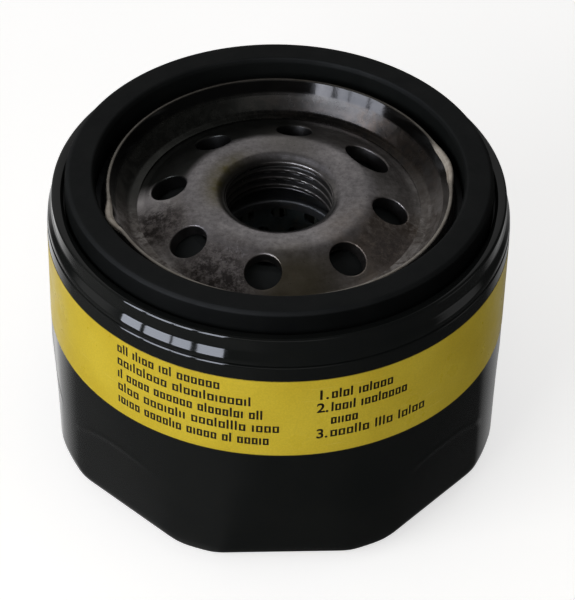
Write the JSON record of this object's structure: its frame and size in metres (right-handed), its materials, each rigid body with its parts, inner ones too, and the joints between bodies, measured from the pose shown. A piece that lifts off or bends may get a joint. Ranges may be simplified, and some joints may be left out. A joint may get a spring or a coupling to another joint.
{
  "type": "spin-on oil filter",
  "caption": "Short round spin-on engine oil filter: black can with wrench flats, printed band, rubber gasket, steel base with inlet holes and a threaded bore.",
  "frame": {"origin": "centre of the can's closed end, on the plane it rests on", "axes": "+Z along the can's axis, from the closed end to the gasket and the threaded bore; -Y is the side shown at the front in the picture, and +X is to the right of it"},
  "size_m": [0.0764, 0.0764, 0.0549],
  "materials": {
    "can_paint": "gloss black paint on drawn steel",
    "label_print": null,
    "lid_steel": "bare tinned sheet, slightly stained",
    "plate_steel": "bare stamped steel, oily and mottled",
    "gasket_rubber": "satin black nitrile",
    "valve_rubber": "matt nitrile",
    "sealant": "matt seaming compound",
    "cap_steel": "bright tinplate",
    "spring_steel": "drawn spring wire",
    "filter_paper": "resin-treated pleated paper",
    "plastisol": "cured plastisol adhesive"
  },
  "bodies": {
    "can": {"can_shell": "can_paint", "label_band": "label_print", "seaming_lid": "lid_steel", "seam_sealant": "sealant", "tapping_plate": "plate_steel", "sealing_gasket": "gasket_rubber", "element_spring": "spring_steel"},
    "element": {"element_top_cap": "cap_steel", "element_bottom_cap": "cap_steel", "center_tube": "cap_steel", "pleated_media": "filter_paper", "media_seam_clip": "cap_steel", "adhesive_bead_top": "plastisol", "adhesive_bead_bottom": "plastisol", "bypass_seat": "cap_steel", "bypass_cage": "cap_steel", "bypass_spring": "spring_steel"},
    "bypass_valve": {"bypass_poppet": "cap_steel", "bypass_seal": "valve_rubber"},
    "drainback_valve": {"anti_drainback_valve": "valve_rubber"}
  },
  "joints": [
    {"name": "element_float", "type": "slide", "parent": "can", "child": "element", "axis": [0, 0, 1], "range_m": [-0.001, 0], "deforming": ["element_spring"]},
    {"name": "bypass_open", "type": "slide", "parent": "element", "child": "bypass_valve", "axis": [0, 0, 1], "range_m": [0, 0.003], "deforming": ["bypass_spring"]},
    {"name": "drainback_lift", "type": "slide", "parent": "can", "child": "drainback_valve", "axis": [0, 0, 1], "range_m": [-0.0012, 0]}
  ]
}
